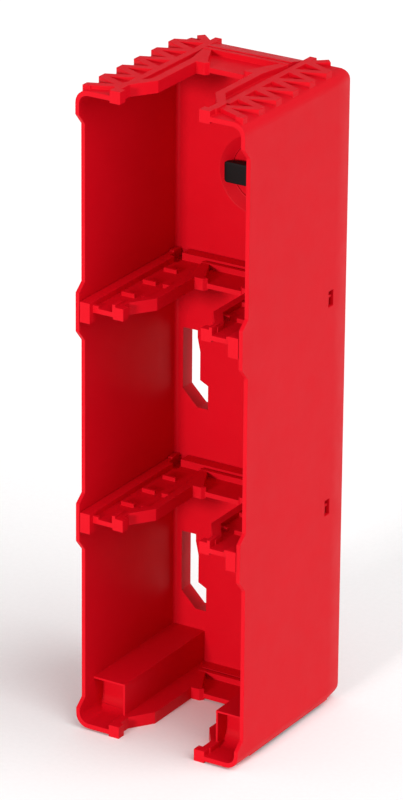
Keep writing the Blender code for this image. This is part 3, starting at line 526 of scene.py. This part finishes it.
def pan_head_screw(name, sizes, look):
    """A pan-head screw along +Y, its seat at the origin, with rolled threads and a hexagon recess."""
    shank, length, head, height = sizes
    pitch = shank * THREAD_PITCH_SHARE
    root = shank * THREAD_ROOT_SHARE
    start = shank / 2 - length
    points = [(0, -length), (shank * TIP_SHARE, -length), (root, start)]
    for i in range(int((length - shank) / pitch)):
        rise, crest = [start + pitch * (i + share) for share in THREAD_CREST_SHARES]
        points += [(root, rise), (shank, crest), (root, start + pitch * (i + 1))]
    rim = height * HEAD_RIM_SHARE
    dome = head * HEAD_DOME_SHARE
    points += [(shank, -pitch / 2), (shank, 0), (head, 0), (head, rim)]
    for turn in range(DOME_STEP, 90, DOME_STEP):
        angle = math.radians(turn)
        points.append((head - dome * (1 - math.cos(angle)), rim + (height - rim) * math.sin(angle)))
    points += [(head - dome, height), (0, height)]
    body = turned_profile(points, name, look)
    shape = bmesh.new()
    bmesh.ops.create_cone(
        shape,
        cap_ends=True,
        segments=RECESS_SIDES,
        radius1=head * RECESS_SHARE,
        radius2=head * RECESS_SHARE,
        depth=2 * height * RECESS_DEPTH_SHARE,
        matrix=Matrix.Translation((0, height, 0)) @ Matrix.Rotation(math.pi / 2, 4, "X"),
    )
    cutter = add_object(f"{name}_recess", mesh_from(shape, f"{name}_recess"))
    drive = body.modifiers.new("Driver recess", "BOOLEAN")
    drive.operation = "DIFFERENCE"
    drive.solver = "EXACT"
    drive.object = cutter
    return baked(body, name, [cutter])


def baked(source, name, helpers=()):
    """The evaluated shape of an object as a plain mesh object; the source and its helpers go."""
    bpy.context.view_layer.update()
    graph = bpy.context.evaluated_depsgraph_get()
    mesh = bpy.data.meshes.new_from_object(source.evaluated_get(graph))
    for old in (source, *helpers):
        bpy.data.objects.remove(old)
    return add_object(name, mesh)


def screw_rows_tree(screw, look):
    """Geometry Nodes that set a screw at both ends of a row on each level, from named sizes."""
    tree = bpy.data.node_groups.new("Shelf screws", "GeometryNodeTree")
    for socket in ("Half Spacing", "First Height", "Level Pitch"):
        tree.interface.new_socket(socket, in_out="INPUT", socket_type="NodeSocketFloat")
    tree.interface.new_socket("Geometry", in_out="OUTPUT", socket_type="NodeSocketGeometry")
    sizes = add_node(tree, "NodeGroupInput")
    width = add_node(
        tree, "ShaderNodeMath", {"operation": "MULTIPLY"}, {0: (sizes, "Half Spacing"), 1: 2.0}
    )
    grid = add_node(
        tree,
        "GeometryNodeMeshGrid",
        inputs={
            "Size X": (width, "Value"),
            "Size Y": (sizes, "Level Pitch"),
            "Vertices X": 2,
            "Vertices Y": 2,
        },
    )
    half = add_node(
        tree, "ShaderNodeMath", {"operation": "MULTIPLY"}, {0: (sizes, "Level Pitch"), 1: 0.5}
    )
    middle = add_node(
        tree, "ShaderNodeMath", {"operation": "ADD"}, {0: (sizes, "First Height"), 1: (half, "Value")}
    )
    lift = add_node(tree, "ShaderNodeCombineXYZ", inputs={"Z": (middle, "Value")})
    upright = add_node(
        tree,
        "GeometryNodeTransform",
        inputs={
            "Geometry": (grid, "Mesh"),
            "Rotation": (math.pi / 2, 0, 0),
            "Translation": (lift, "Vector"),
        },
    )
    source = add_node(tree, "GeometryNodeObjectInfo", inputs={"Object": screw})
    turn = add_node(
        tree,
        "FunctionNodeRandomValue",
        {"data_type": "FLOAT_VECTOR"},
        {"Min": (0, 0, 0), "Max": (0, math.tau, 0), "Seed": SCREW_TURN_SEED},
    )
    field = add_node(
        tree,
        "GeometryNodeInstanceOnPoints",
        inputs={
            "Points": (upright, "Geometry"),
            "Instance": (source, "Geometry"),
            "Rotation": (turn, "Value"),
        },
    )
    real = add_node(tree, "GeometryNodeRealizeInstances", inputs={"Geometry": (field, "Instances")})
    finish = add_node(
        tree, "GeometryNodeSetMaterial", inputs={"Geometry": (real, "Geometry"), "Material": look}
    )
    add_node(tree, "NodeGroupOutput", inputs={"Geometry": (finish, "Geometry")})
    return tree


def shelf_screws(look):
    """The four screws that hold the shelves, as one field set by Geometry Nodes."""
    screw = pan_head_screw("pan_head_screw", SHELF_SCREW, look)
    place(screw, at_depth(0, SHELF_HEAD_SEAT, 0))
    holder = add_object("shelf_screw_field", bpy.data.meshes.new("shelf_screw_field"))
    step = holder.modifiers.new("Shelf screws", "NODES")
    step.node_group = screw_rows_tree(screw, look)
    sizes = {
        "Half Spacing": SHELF_SCREW_X,
        "First Height": LEVEL_MIDDLES[0] - SHELF_SCREW_DROP,
        "Level Pitch": LEVEL_MIDDLES[1] - LEVEL_MIDDLES[0],
    }
    for socket in step.node_group.interface.items_tree:
        if socket.in_out == "INPUT":
            step[socket.identifier] = sizes[socket.name]
    return baked(holder, "shelf_screws", [screw])


def steel(frame, zinc):
    """The cam and every screw."""
    cam = rounded_copy(frame["nodes"]["lock_cam"], "cam_plate", STEEL_ROUNDING, zinc)
    dress(cam, "lock", "zinc_steel", "lock_cam")
    lock = pan_head_screw("lock_centre_screw", LOCK_SCREW, zinc)
    place(lock, at_depth(0, LOCK_HEAD_SEAT, LOCK_Z))
    dress(lock, "lock", "zinc_steel", "lock_screw")
    names = [f"{shelf}_shelf_screw_{side}" for shelf in ("lower", "upper") for side in ("left", "right")]
    dress(shelf_screws(zinc), "rack", "zinc_steel", *names)


# Studio


def soft_light(name, azimuth, elevation, spread, strength):
    """A far light turned to the rack, its softness given by its spread in degrees."""
    lamp = bpy.data.lights.new(name, "SUN")
    lamp.angle = math.radians(spread)
    lamp.energy = strength
    light = add_object(name, lamp)
    light.rotation_mode = "QUATERNION"
    light.rotation_quaternion = direction(azimuth, elevation).to_track_quat("Z", "Y")


def direction(azimuth, elevation):
    """Unit vector from the rack towards a viewer at these angles in degrees."""
    turn = math.radians(azimuth)
    rise = math.radians(elevation)
    return Vector((math.sin(turn) * math.cos(rise), -math.cos(turn) * math.cos(rise), math.sin(rise)))


def photo_camera():
    """The camera at the photograph's angle, with its small roll."""
    lens = bpy.data.cameras.new("photo_camera")
    lens.lens = CAMERA_LENS
    lens.clip_end = CAMERA_REACH
    camera = add_object("photo_camera", lens)
    back = direction(CAMERA_AZIMUTH, CAMERA_ELEVATION)
    camera.location = CAMERA_TARGET + back * CAMERA_DISTANCE
    right = Vector((0, 0, 1)).cross(back).normalized()
    up = back.cross(right)
    roll = math.radians(CAMERA_ROLL)
    across = right * math.cos(roll) + up * math.sin(roll)
    above = up * math.cos(roll) - right * math.sin(roll)
    camera.rotation_mode = "QUATERNION"
    camera.rotation_quaternion = Matrix((across, above, back)).transposed().to_quaternion()
    bpy.context.scene.camera = camera


def studio():
    """The pale floor, an even white surround, two soft lights and the camera."""
    mesh = bpy.data.meshes.new("studio_floor")
    corners = [(x * FLOOR_HALF, y * FLOOR_HALF, 0) for x, y in ((-1, -1), (1, -1), (1, 1), (-1, 1))]
    mesh.from_pydata(corners, [], [(0, 1, 2, 3)])
    mesh.materials.append(pale_floor())
    floor = add_object("studio_floor", mesh)
    world = bpy.data.worlds.new("studio")
    world.use_nodes = True
    surround = world.node_tree.nodes["Background"]
    surround.inputs["Color"].default_value = srgb("#FFFFFF")
    surround.inputs["Strength"].default_value = SURROUND_STRENGTH
    bpy.context.scene.world = world
    bpy.context.scene.view_settings.view_transform = "Standard"
    soft_light("side_light", *SIDE_LIGHT)
    soft_light("front_light", *FRONT_LIGHT)
    photo_camera()


def main():
    """Dress the frame and set the scene."""
    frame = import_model()
    red = moulded_red()
    black = moulded_black()
    zinc = zinc_plate()
    spring = rolled_spring_steel()
    mouldings(frame, red, black)
    washers(frame, zinc, spring)
    steel(frame, zinc)
    studio()


main()
